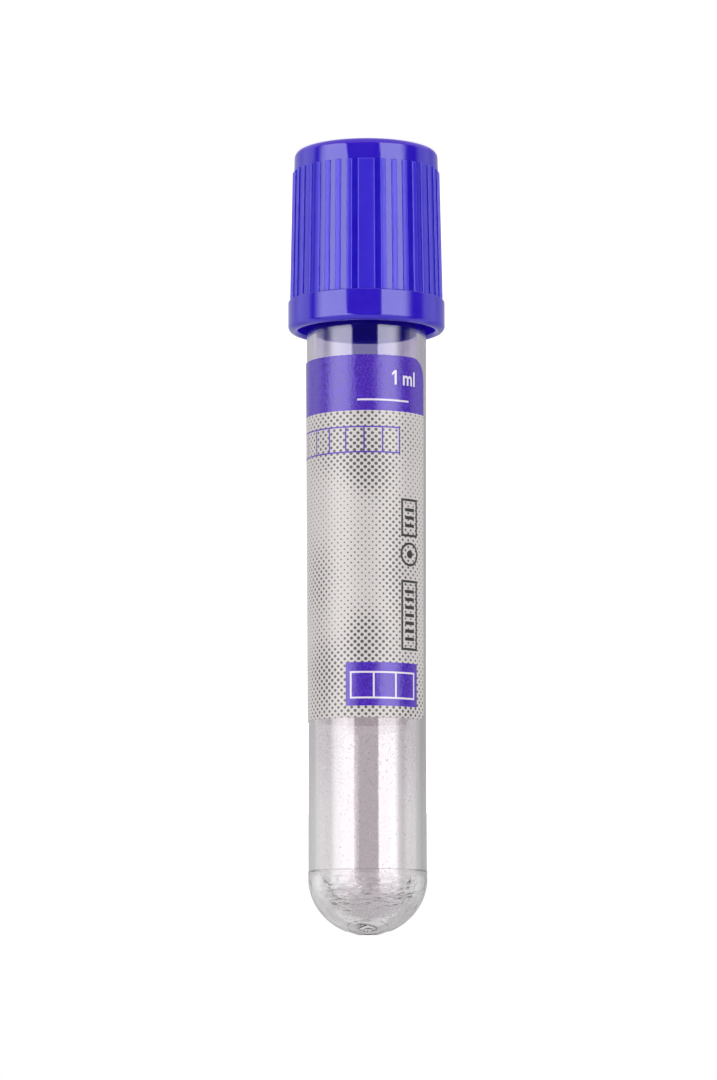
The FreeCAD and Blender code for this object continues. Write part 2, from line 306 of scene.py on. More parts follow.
def draw_profile(bm, start, profile, large_steps, small_steps, closed=False):
    """Draw corners given as radius, height, and rounding in millimetres, and round them.

    A rounding over 0.3 mm is a large one.
    """
    outline = Outline(bm, *start)
    first = outline.tip
    corners = outline.lines(*[corner[:2] for corner in profile])
    if closed:
        outline.close(first)
    for corner, (_, _, rounding) in zip(corners, profile):
        if rounding:
            round_corner(bm, corner, rounding * MM, large_steps if rounding > 0.3 else small_steps)


def spin_whole(bm, segments):
    """Sweep everything drawn so far once round Z and close it."""
    geometry = bm.verts[:] + bm.edges[:]
    bmesh.ops.spin(
        bm, geom=geometry, cent=ORIGIN, axis=UP, angle=math.tau, steps=segments, use_merge=True
    )
    tidy(bm)


def pole_arc(radius, height, shoulder):
    """Radius of the arc over the pole that runs on smoothly from the shoulder arc."""
    return ((radius - shoulder) ** 2 + height**2 - shoulder**2) / (2 * (height - shoulder))


def bore_end(tube):
    """The bore's round end: radius, shoulder arc, tip, where it starts and the arc over its pole."""
    radius = MOUTH_RADIUS - tube.draft - tube.end_wall
    height = radius - tube.bore_flattening
    shoulder = radius - tube.bore_inset
    tip = TIP_Z - tube.bottom
    return radius, shoulder, tip, tip - height, pole_arc(radius, height, shoulder)


def finished(bm, name, materials, body, slot, *nodes, crease=35):
    """Make the mesh a piece that rides on a body and stands for solid-model nodes.

    Edges that turn more than the crease, in degrees, stay sharp.
    """
    for face in bm.faces:
        face.smooth = True
    for edge in bm.edges:
        if edge.calc_face_angle(0) > math.radians(crease):
            edge.smooth = False
    mesh = bpy.data.meshes.new(name)
    bm.to_mesh(mesh)
    bm.free()
    for material in materials:
        mesh.materials.append(material)
    piece = bpy.data.objects.new(name, mesh)
    bpy.context.scene.collection.objects.link(piece)
    # small roundings don't pull the shading of the long walls beside them
    weighted = piece.modifiers.new("face_weighted_normals", "WEIGHTED_NORMAL")
    weighted.keep_sharp = True
    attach(piece, body)
    if nodes:
        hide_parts(*nodes)
    return piece


# ---------------------------------------------------------------- shader helpers
def operation(name, swapped=False):
    """A method that works a Math node on a value and what it is combined with."""

    def combine(self, *others):
        values = (*others, self) if swapped else (self, *others)
        return self.finish.node("ShaderNodeMath", {"operation": name}, dict(enumerate(values)))

    return combine


class Value:
    """A number that changes over a surface; sums with it add their Math nodes."""

    def __init__(self, finish, socket):
        self.finish = finish
        self.socket = socket

    __add__ = __radd__ = operation("ADD")
    __sub__ = operation("SUBTRACT")
    __rsub__ = operation("SUBTRACT", swapped=True)
    __mul__ = __rmul__ = operation("MULTIPLY")
    __truediv__ = operation("DIVIDE")
    __lt__ = operation("LESS_THAN")
    __gt__ = operation("GREATER_THAN")
    __abs__ = operation("ABSOLUTE")
    at_least = operation("MAXIMUM")
    root = operation("SQRT")
    wave = operation("SINE")
    fraction = operation("FRACT")


class Finish:
    """One material or world and the nodes that it is mixed from."""

    def __init__(self, name, block=None):
        self.block = block or bpy.data.materials.new(name)
        self.block.use_nodes = True
        self.tree = self.block.node_tree
        self.tree.nodes.clear()

    def node(self, kind, settings=None, sockets=None, output=0):
        """Add a node: its settings first, then the values or links of its sockets."""
        made = self.tree.nodes.new(kind)
        for setting, value in (settings or {}).items():
            setattr(made, setting, value)
        for key, value in (sockets or {}).items():
            socket = made.inputs[key]
            if isinstance(value, Value):
                self.tree.links.new(value.socket, socket)
            elif hasattr(value, "__len__") and socket.type == "RGBA":
                socket.default_value = (*value, 1)
            else:
                socket.default_value = value
        return Value(self, made.outputs[output])

    def place(self):
        return self.node("ShaderNodeTexCoord", output="Object")

    def parts(self, vector):
        """The three numbers of a vector."""
        first = self.node("ShaderNodeSeparateXYZ", sockets={"Vector": vector})
        return [Value(self, output) for output in first.socket.node.outputs]

    def stretched(self, vector, *scale):
        return self.node("ShaderNodeMapping", sockets={"Vector": vector, "Scale": scale})

    def ray(self, kind):
        """What is known of the ray that arrives, such as Is Camera Ray."""
        return self.node("ShaderNodeLightPath", output=kind)

    def noise(self, vector, scale, detail=2.0, roughness=0.5):
        return self.node(
            "ShaderNodeTexNoise",
            sockets={"Vector": vector, "Scale": scale, "Detail": detail, "Roughness": roughness},
        )

    def between(self, value, low, high, out_low=0.0, out_high=1.0):
        """Blend smoothly from one number to another as value runs from low to high."""
        return self.node(
            "ShaderNodeMapRange",
            {"interpolation_type": "SMOOTHSTEP"},
            {"Value": value, 1: low, 2: high, 3: out_low, 4: out_high},
        )

    def mixed(self, share, first, second):
        """Colour that is the first where share is 0 and the second where it is 1."""
        return self.node(
            "ShaderNodeMix", {"data_type": "RGBA"}, {0: share, 6: first, 7: second}, output=2
        )

    def bump(self, height, distance, strength=1.0):
        return self.node(
            "ShaderNodeBump", sockets={"Height": height, "Distance": distance, "Strength": strength}
        )

    def principled(self, **sockets):
        return self.node(
            "ShaderNodeBsdfPrincipled",
            sockets={key.replace("_", " "): value for key, value in sockets.items()},
        )

    def plain(self, **sockets):
        """End with one Principled shader."""
        return self.done(self.principled(**sockets))

    def shader_mix(self, share, first, second):
        return self.node("ShaderNodeMixShader", sockets={0: share, 1: first, 2: second})

    def white_glow(self, strength):
        return self.node("ShaderNodeEmission", sockets={"Color": WHITE, "Strength": strength})

    def done(self, surface):
        kind = "World" if isinstance(self.block, bpy.types.World) else "Material"
        output = self.tree.nodes.new("ShaderNodeOutput" + kind)
        self.tree.links.new(surface.socket, output.inputs["Surface"])
        return self.block


def length_of(first, *others):
    """The length of a line, from its parts across each other."""
    total = first * first
    for part in others:
        total = total + part * part
    return total.root()


def scaled(shade, share, lift=0.0):
    return [share * part + lift for part in shade]


# ---------------------------------------------------------------- finishes
def clear_plastic(tube):
    """Clear moulded plastic, rippled where the melt met in the round end."""
    finish = Finish("clear_moulded_plastic")
    place = finish.place()
    x, y, height = finish.parts(place)
    off_axis = length_of(x, y)
    front_or_back = finish.between(abs(y) / off_axis.at_least(0.5 * MM), 0.35, 0.85)

    # which places belong to the round end, and which of them to its inside
    round_end = finish.between(height, TIP_Z - 7.0 * MM, TIP_Z - 5.6 * MM)
    round_end = round_end * finish.between(off_axis, 2.2 * MM, 3.2 * MM)
    round_end = round_end * finish.between(height, TIP_Z - 4.4 * MM, TIP_Z - 2.4 * MM, 1.0, 0.3)
    dome_centre = TIP_Z - 5.93 * MM
    rise = (height - dome_centre).at_least(0.0)
    reach = length_of(x, y, rise)
    inside = finish.between(reach, 5.55 * MM, 5.85 * MM, 1.0, 0.0)

    # relief: ripples in the round end and faint streaks along the wall
    ripples = finish.noise(finish.stretched(place, 1.0, 1.0, 2.8), 1000.0, 3.0, 0.6)
    streaks = finish.noise(finish.stretched(place, 1.0, 1.0, 0.02), 900.0, 2.0)
    depth = round_end * (inside * 0.8 + 0.2) * (front_or_back * 0.85 + 0.15)
    relief = ripples * depth + streaks * 0.02
    relief_height = 0.19 * MM

    # tint of the plastic face on, with painted light and shade over it: lighter a little aslant, deeper
    # where the wall is seen edge on, and paler onward to the round end
    facing = finish.node("ShaderNodeLayerWeight", sockets={"Blend": 0.5}, output="Facing")
    onward = finish.between(height, LABEL_END_Z + 1.0 * MM, LABEL_END_Z + 11.0 * MM)
    aslant = finish.mixed(onward, tube.aslant, tube.end_aslant)
    rim = finish.mixed(onward, tube.rim, tube.end_rim)
    shade = finish.mixed(finish.between(facing, 0.07, 0.17), tube.tint, aslant)
    shade = finish.mixed(finish.between(facing, 0.42, 0.62), shade, rim)
    # painted shade round the gate
    by_gate = finish.between(height, TIP_Z - 4.6 * MM, TIP_Z - 2.6 * MM)
    by_gate = by_gate * finish.between(off_axis, 1.6 * MM, 3.4 * MM, 1.0, 0.55)
    shade = finish.mixed(by_gate, shade, tube.gate_painted_shade)

    # streaks in the round end that follow the ripples: the paler ones are painted glints and the darker
    # ones painted shade
    marks = finish.between(ripples, 0.36, 0.64) - 0.5
    glint_and_shade_share = round_end * front_or_back
    painted_streak_shade, line_grey, lamp_tint = (0.30, 0.28, 0.30), (0.25, 0.23, 0.25), (0.90, 0.89, 0.90)
    paler, darker = (marks * 0.75).at_least(0.0), (marks * -0.5).at_least(0.0)
    shade = finish.mixed(paler * glint_and_shade_share, shade, WHITE)
    shade = finish.mixed(darker * glint_and_shade_share, shade, painted_streak_shade)

    # the parting line, which wanders and breaks up
    level = finish.stretched(place, 1.0, 1.0, 0.0)
    wander = finish.noise(level, 420.0, 3.0, 0.7) - 0.5
    parting = TIP_Z - tube.parting_height + wander * 0.25 * MM
    off_line = abs(height - parting) + inside * 0.3 * MM
    dashes = finish.between(finish.noise(level, 1500.0, 2.0), 0.35, 0.6, 0.15, 0.75)
    on_line = finish.between(off_line, 0.03 * MM, 0.075 * MM, 1.0, 0.0) * dashes
    shade = finish.mixed(on_line, shade, line_grey)

    # painted reflection: beside the closure the wall is coloured with the closure's violet, and deeper
    # and bluer where it faces the eye, as painted shade
    beside_closure = finish.between(height, LABEL_START_Z, LABEL_START_Z + 2.0 * MM, 1.0, 0.0)
    cast = finish.mixed(finish.between(facing, 0.02, 0.08), tube.painted_shade_ahead, tube.cast)
    plastic = finish.principled(
        Base_Color=finish.mixed(beside_closure, shade, cast),
        Roughness=0.015,
        IOR=1.57,
        Transmission_Weight=1.0,
        Normal=finish.bump(relief, relief_height),
    )
    # lamps shine through the wall without being bent
    lamps_pass = finish.node("ShaderNodeBsdfTransparent", sockets={"Color": lamp_tint})
    return finish.done(finish.shader_mix(finish.ray("Is Shadow Ray"), plastic, lamps_pass))


def closure_plastic(closure):
    """Violet moulded plastic: glossy but for the satin faces of the ribs."""
    finish = Finish("violet_moulded_plastic")
    place = finish.place()
    x, y, height = finish.parts(place)
    relief = closure.relief

    # how far a place stands proud of the ground between the ribs
    skirt_z = CAP_HEIGHT - closure.skirt_height
    slope = (closure.ground_low - closure.ground_top) / (skirt_z - closure.band_height)
    ground = (height - closure.band_height) * slope + closure.ground_top
    proud = length_of(x, y) - ground
    grooved = (height < skirt_z - 0.02 * MM) * (height > closure.band_height + 0.01 * MM)
    ribbed = finish.between(proud, 0.3 * relief, 0.8 * relief) * grooved
    # the ribs' rounded edges, for a painted highlight
    edge = finish.between(proud, 0.35 * relief, 0.60 * relief) * grooved
    edge = edge * finish.between(proud, 0.88 * relief, 0.99 * relief, 1.0, 0.0)

    grain = finish.noise(place, 5200.0, 2.0, 0.6)
    cloud = finish.noise(place, 420.0, 3.0)
    scuffs = finish.noise(finish.stretched(place, 1.0, 1.0, 0.12), 1900.0, 3.0, 0.6)
    # painted shade in the grooves between the ribs
    tone = finish.mixed(grooved, closure.plastic, closure.groove)
    # painted sheen on the ribs' satin faces
    tone = finish.mixed(ribbed, tone, closure.rib_sheen)
    # painted highlight along the ribs' edges
    tone = finish.mixed(edge, tone, closure.edge)
    milky, painted_top_light = (0.10, 0.07, 0.80), (0.085, 0.011, 0.60)
    tone = finish.mixed(finish.between(cloud, 0.3, 0.75, 0.0, 0.10), tone, milky)
    # painted light: the top edge, which stands on the floor and is shaded by it, is made lighter and
    # pinker
    foot = finish.between(height, 0.15 * MM, 1.0 * MM, 0.7, 0.0)
    tone = finish.mixed(foot, tone, painted_top_light)
    rough = 0.09 + ribbed * 0.21 + (scuffs - 0.5) * 0.10
    texture = grain * (0.04 + ribbed * 0.30) + scuffs * (0.10 + ribbed * 0.35)
    # painted glow: the skirt's inside glows, standing in for light that comes through its wall
    within = finish.between(proud, -0.6 * MM, -0.3 * MM, 1.0, 0.0) * (height > MOUTH_Z)
    return finish.plain(
        Base_Color=tone,
        Roughness=rough,
        IOR=1.5,
        Normal=finish.bump(texture, 0.006 * MM),
        Emission_Color=finish.mixed(within, (0, 0, 0), closure.glow),
        Emission_Strength=1.0,
    )


def stopper_rubber(closure):
    """Deep blue matt rubber with a fine bloom."""
    finish = Finish("dark_rubber")
    place = finish.place()
    bloom = finish.noise(place, 900.0, 4.0, 0.6)
    return finish.plain(
        Base_Color=finish.mixed(bloom, closure.rubber, scaled(closure.rubber, 1.5, 0.01)),
        Roughness=0.45 + bloom * 0.25,
        IOR=1.5,
        Normal=finish.bump(finish.noise(place, 3500.0, 3.0), 0.01 * MM),
    )


def printed_film(label, tube):
    """Glossy film: a violet band and field on a ground of grey dots, and plain black frames."""
    finish = Finish("printed_film")
    along, down, _ = finish.parts(finish.node("ShaderNodeUVMap", {"uv_map": "film"}))
    place = finish.place()

    # a lattice of dots, each as large as the tone there asks for
    row = 2 * label.dot_rows
    off_rising = (along / label.dot_pitch + down / row + 0.16).fraction() - 0.5
    off_falling = (along / label.dot_pitch - down / row + 0.30).fraction() - 0.5
    reach = length_of(off_rising, off_falling)
    tone = finish.noise(finish.stretched(place, 1.0, 1.0, 0.6), 260.0, 1.0) * 0.5 - 0.06
    for middle_along, middle_down, half_along, half_down, weight in DARKER_PLACES:
        aside = (along - middle_along * MM) / (half_along * MM)
        below = (down - middle_down * MM) / (half_down * MM)
        tone = tone + finish.between(length_of(aside, below), 0.2, 1.1, weight, 0.0)
    size = finish.between(tone, 0.0, 1.0, 0.135, 0.35)
    dotted = finish.between(reach - size, -0.05, 0.05, 1.0, 0.0)

    line = 0.26 * MM  # of the black marks

    def box(middle_along, middle_down, half_along, half_down):
        """How far outside a rectangle a place on the film is."""
        past_side = abs(along - middle_along) - half_along
        return past_side.at_least(abs(down - middle_down) - half_down)

    def ruled(outside, width):
        """A line of this width along the edge of a shape."""
        return abs(outside) < width / 2

    def striped(across, start, pitch, width):
        """Lines of this width and pitch across a direction."""
        return abs(((across - start) / pitch + 0.5).fraction() - 0.5) * pitch < width / 2

    def cells(outside, start, pitch, width):
        """A ruled box split into cells of this pitch along the film."""
        dividers = striped(along, start, pitch, width) * (outside < 0.0)
        return ruled(outside, width).at_least(dividers)

    def frame_with_bars(middle_along, middle_down, half_along, half_down):
        """A ruled box with short bars in it, set in a little from its edge."""
        outside = box(middle_along, middle_down, half_along, half_down)
        bars = striped(down, middle_down, 0.84 * MM, 0.36 * MM) * (outside < -0.38 * MM)
        return ruled(outside, line).at_least(bars)

    # the violet band, with the wavy edge that a screen leaves, and the violet field
    radius = MOUTH_RADIUS - tube.draft / 2
    wave = (along * 8300.0).wave() * 0.03 * MM
    in_band = (down + wave) < LABEL_START_Z + label.band
    field_middle = math.radians(17.0) * radius
    in_field = box(field_middle, 58.4 * MM, math.radians(38.0) * radius, 2.3 * MM) < 0.0

    # a column of black marks: a frame, a ring with a dot and a taller frame
    column = math.radians(44.6) * radius
    upper = frame_with_bars(column, 40.6 * MM, 1.05 * MM, 1.9 * MM)
    lower = frame_with_bars(column, 51.0 * MM, 1.05 * MM, 3.6 * MM)
    off_centre = length_of(along - column, down - 44.5 * MM)
    ring = ruled(off_centre - 1.15 * MM, line).at_least(off_centre < 0.42 * MM)
    black = upper.at_least(lower).at_least(ring)
    black_ink, white_line = (0.012, 0.011, 0.013), (0.80, 0.74, 0.83)

    # rows of cells to write in, violet on the ground and white on the field, and a white rule
    entry = box(-4.2 * MM, 32.4 * MM, 7.8 * MM, 1.35 * MM)
    violet_lines = cells(entry, 3.6 * MM, 1.95 * MM, 0.15 * MM)
    inset_half = math.radians(33.0) * radius
    inset = box(field_middle, 58.5 * MM, inset_half, 1.35 * MM)
    cell = math.radians(22.0) * radius
    rule = box(1.9 * MM, 28.15 * MM, 2.9 * MM, 0.10 * MM)
    white_lines = cells(inset, field_middle - inset_half, cell, 0.19 * MM).at_least(rule < 0.0)

    grain = finish.noise(place, 4600.0, 2.0, 0.65)
    paper = finish.mixed(grain, label.ground, scaled(label.ground, 0.93))
    shade = finish.mixed(dotted, paper, label.dots)
    sparkle = finish.between(grain, 0.36, 0.66)
    violet = finish.mixed(sparkle, scaled(label.ink, 0.88), scaled(label.ink, 1.34, 0.010))
    printed = in_band.at_least(in_field)
    shade = finish.mixed(black, shade, black_ink)
    shade = finish.mixed(violet_lines, shade, label.ink)
    shade = finish.mixed(printed, shade, violet)
    shade = finish.mixed(white_lines, shade, white_line)
    return finish.plain(
        Base_Color=shade,
        Roughness=0.32 - printed * 0.19 + sparkle * 0.14,
        IOR=1.5,
        Normal=finish.bump(grain, 0.030 * MM),
    )


def film_backing():
    """Pale adhesive side of the film, seen through the tube, with a painted glow standing in for light
    that comes through the film.
    """
    finish = Finish("film_backing")
    fibres = finish.noise(finish.place(), 2600.0, 4.0, 0.6)
    return finish.plain(
        Base_Color=finish.mixed(fibres, (0.90, 0.88, 0.87), (0.80, 0.78, 0.77)),
        Roughness=0.55 + fibres * 0.2,
        IOR=1.45,
        # painted glow, standing in for light that comes through the film
        Emission_Color=(1.0, 0.98, 0.98),
        Emission_Strength=0.45,
    )


def white_ink():
    """White print with a slight grain."""
    finish = Finish("white_ink")
    grain = finish.noise(finish.place(), 4200.0, 2.0, 0.6)
    return finish.plain(
        Base_Color=finish.mixed(grain, (0.86, 0.82, 0.88), (0.78, 0.73, 0.82)),
        Roughness=0.2 + grain * 0.1,
    )


def dried_salt(additive):
    """Pale dried specks, some of them greyer, with a painted glow that lifts them where they lie in
    shade.
    """
    finish = Finish("dried_salt")
    cloud = finish.noise(finish.place(), 1500.0, 2.0)
    greyer = finish.between(cloud, 0.5, 0.62)
    return finish.plain(
        Base_Color=finish.mixed(greyer, additive.salt, scaled(additive.salt, 0.35)),
        Roughness=0.35 + cloud * 0.2,
        # painted glow, so that the specks stay pale in shade
        Emission_Color=(1.0, 0.98, 1.0),
        Emission_Strength=0.32,
    )


# ---------------------------------------------------------------- operators
class BLOODTUBE_OT_tube(bpy.types.Operator):
    """Turn the clear tube with its round end, parting line and gate"""

    bl_idname = "bloodtube.tube"
    bl_label = "Tube"

    def execute(self, context):
        tube = context.scene.blood_tube
        bm = bmesh.new()
        end_radius = MOUTH_RADIUS - tube.draft

        # the bore, from its pole to the mouth
        radius, shoulder, tip, base, pole = bore_end(tube)
        pole_z = tip - pole
        joint = math.atan2(base - pole_z, radius - shoulder)
        outline = Outline(bm, 0, tip)
        outline.arc(0, pole_z, joint - math.pi / 2, 36)
        outline.arc(radius - shoulder, base, -joint, 16)
        inner_lip = outline.line(MOUTH_RADIUS - tube.mouth_wall, MOUTH_Z)
        outer_lip = outline.line(MOUTH_RADIUS, MOUTH_Z)

        # the outside, from the mouth to the gate
        dome = end_radius + tube.parting_step
        height = dome - tube.flattening
        shoulder = dome - tube.shoulder_inset
        pole = pole_arc(dome, height, shoulder)
        base = TIP_Z + pole - math.sqrt(pole**2 - tube.gate_radius**2) - height
        pole_z = base + height - pole
        joint = math.atan2(base - pole_z, dome - shoulder)
        gate = math.acos(tube.gate_radius / pole)
        parting = TIP_Z - tube.parting_height
        beside, slope = 0.10 * MM, 0.04 * MM  # how far an edge's own corners reach
        outline.lines(
            (end_radius, LABEL_END_Z),
            (end_radius, parting - beside),
            (end_radius, parting - slope),
            (dome, parting),
            (dome, parting + beside),
            (dome, base),
        )
        outline.arc(dome - shoulder, base, joint, 16)
        ring = math.acos((tube.ring_radius + beside) / pole)
        outline.arc(0, pole_z, ring - joint, 24)
        ring_z = outline.tip.co.z
        # the witness ring is a shallow groove
        outline.lines(
            (tube.ring_radius + slope, ring_z - 0.05 * MM),
            (tube.ring_radius - 0.03 * MM, ring_z - 0.02 * MM),
        )
        gate_edge_z = pole_z + pole * math.sin(gate)
        outline.lines(
            ((tube.ring_radius + tube.gate_radius) / 2, (ring_z + gate_edge_z) / 2),
            (tube.gate_radius, gate_edge_z),
        )
        gate_floor = TIP_Z - tube.gate_depth
        nub_top = gate_floor + tube.nub_height
        outline.lines(
            (tube.gate_radius - 0.1 * MM, gate_floor),
            (tube.nub_radius, gate_floor),
            (tube.nub_radius, nub_top),
            (0, nub_top),
        )
        round_corner(bm, inner_lip, tube.lip)
        round_corner(bm, outer_lip, tube.lip)
        spin_whole(bm, tube.segments)
        self.ripple(bm, parting, tube.ripple)
        finished(bm, "clear_tube", [clear_plastic(tube)], "tube_body", "tube_plastic", "tube")
        return {"FINISHED"}

    def ripple(self, bm, parting, depth):
        """Wave the walls of the round end, and let the parting line wander a little."""
        coarse, fine, broad, wander = 420, 1100, 230, 600  # waves in a metre
        for vertex in bm.verts:
            x, y, z = vertex.co
            off_axis = from_axis(vertex.co)
            inside = off_axis < MOUTH_RADIUS - 0.9 * MM and z < TIP_Z - 1.0 * MM
            share = min(1, max(0, (z - parting) / (1.5 * MM)))
            wave = noise.noise(Vector((x, y, 3 * z)) * coarse)
            wave += 0.5 * noise.noise(Vector((x, y, 2.4 * z)) * fine)
            swell = noise.noise(Vector((x, y, z)) * broad)
            facing = 0.25 + 0.75 * abs(y) / max(off_axis, 0.5 * MM)
            off_tip = min(1, (TIP_Z - z) / (0.8 * MM))
            reach = depth * facing if inside else 0.08 * depth * off_tip
            vertex.co -= vertex.normal * share * reach * (wave + swell)
            if abs(z - parting) < 0.15 * MM:
                vertex.co.z += 0.06 * MM * noise.noise(Vector((x, y, 0)) * wander)


def wrapped(bm, lift):
    """Bend flat film round the drafted wall: x runs round from the front, y is height, z is outwards."""
    tube = bpy.context.scene.blood_tube
    middle = MOUTH_RADIUS - tube.draft / 2
    for vertex in bm.verts:
        along, height, out = vertex.co
        share = min(1, (height - MOUTH_Z) / (LABEL_END_Z - MOUTH_Z))
        radius = MOUTH_RADIUS - share * tube.draft + lift + out
        angle = FRONT - along / middle
        vertex.co = (radius * math.cos(angle), radius * math.sin(angle), height)


def sliced(bm, low, high, slices):
    """Cut flat film across, so that it can bend."""
    for cut in range(1, slices):
        bmesh.ops.bisect_plane(
            bm,
            geom=bm.verts[:] + bm.edges[:] + bm.faces[:],
            plane_co=(low + (high - low) * cut / slices, 0, 0),
            plane_no=(1, 0, 0),
        )


class BLOODTUBE_OT_label(bpy.types.Operator):
    """Cut the label to shape, print it and wrap it round the tube"""

    bl_idname = "bloodtube.label"
    bl_label = "Label"

    def execute(self, context):
        label, tube = context.scene.blood_label, context.scene.blood_tube
        middle = MOUTH_RADIUS - tube.draft / 2
        near = label.edge * middle
        far = near - (math.tau - label.gap) * middle
        gap = 0.006 * MM  # keeps the film off the wall
        bm = bmesh.new()
        places = (
            (far, LABEL_START_Z, label.corner),
            (near, LABEL_START_Z, label.corner),
            (near, LABEL_END_Z, label.end_corner),
            (far, LABEL_END_Z, label.end_corner),
        )
        corners = [bm.verts.new((along, height, 0)) for along, height, _ in places]
        bm.faces.new(corners)
        for corner, (_, _, rounding) in zip(corners, places):
            round_corner(bm, corner, rounding, 10)
        sliced(bm, far, near, label.slices)
        film = bm.loops.layers.uv.new("film")
        for face in bm.faces:
            for loop in face.loops:
                loop[film].uv = loop.vert.co.xy
        sheet = bm.faces[:]
        raised = bmesh.ops.extrude_face_region(bm, geom=sheet, use_keep_orig=True)["geom"]
        bmesh.ops.translate(bm, verts=only_verts(raised), vec=(0, 0, label.thickness - gap))
        face_outwards(bm)
        for face in bm.faces:
            face.material_index = int(face.normal.z < -0.5)
        wrapped(bm, gap)
        face_outwards(bm)
        materials = [printed_film(label, tube), film_backing()]
        finished(bm, "label_film", materials, "tube_body", "label_film", "label")
        return {"FINISHED"}


class BLOODTUBE_OT_volume_mark(bpy.types.Operator):
    """Print the volume in white on the label's band"""

    bl_idname = "bloodtube.volume_mark"
    bl_label = "Volume mark"

    def execute(self, context):
        label = context.scene.blood_label
        size, boldness, narrowing, bends = 2.15 * MM, 0.045 * MM, 0.855, 16
        start = Vector((2.67 * MM, 26.39 * MM, 0))
        clear_of_film = 0.004 * MM
        text = bpy.data.curves.new("volume_mark", "FONT")
        text.body = label.mark
        text.size = size
        text.offset = boldness
        text.space_character = 1.05
        text.space_word = 0.55
        text.resolution_u = 4
        carrier = bpy.data.objects.new("volume_mark", text)
        context.scene.collection.objects.link(carrier)
        context.view_layer.update()
        evaluated = carrier.evaluated_get(context.evaluated_depsgraph_get())
        flat = bpy.data.meshes.new_from_object(evaluated)
        bpy.data.objects.remove(carrier)
        bm = bmesh.new()
        bm.from_mesh(flat)
        bpy.data.meshes.remove(flat)
        bmesh.ops.remove_doubles(bm, verts=bm.verts[:], dist=MERGE)
        # the figure one gets its flag
        top = max(vertex.co.y for vertex in bm.verts)
        side = min(vertex.co.x for vertex in bm.verts)
        flag = ((0.02, 0), (-0.34, -0.34), (-0.34, -0.60), (0.02, -0.36))
        bm.faces.new([bm.verts.new((side + x * MM, top + y * MM, 0.001 * MM)) for x, y in flag])
        # turned over, because the tube stands on its closure
        placed = Matrix.Translation(start) @ Matrix.Diagonal((narrowing, -1, 1, 1))
        bmesh.ops.transform(bm, matrix=placed, verts=bm.verts[:])
        sides = [vertex.co.x for vertex in bm.verts]
        sliced(bm, min(sides), max(sides), bends)
        wrapped(bm, label.thickness + clear_of_film)
        for face in bm.faces:
            face.normal_update()
            if face.normal.dot(face.calc_center_median() * Vector((1, 1, 0))) < 0:
                face.normal_flip()
        finished(bm, "volume_mark", [white_ink()], "tube_body", "label_film")
        return {"FINISHED"}


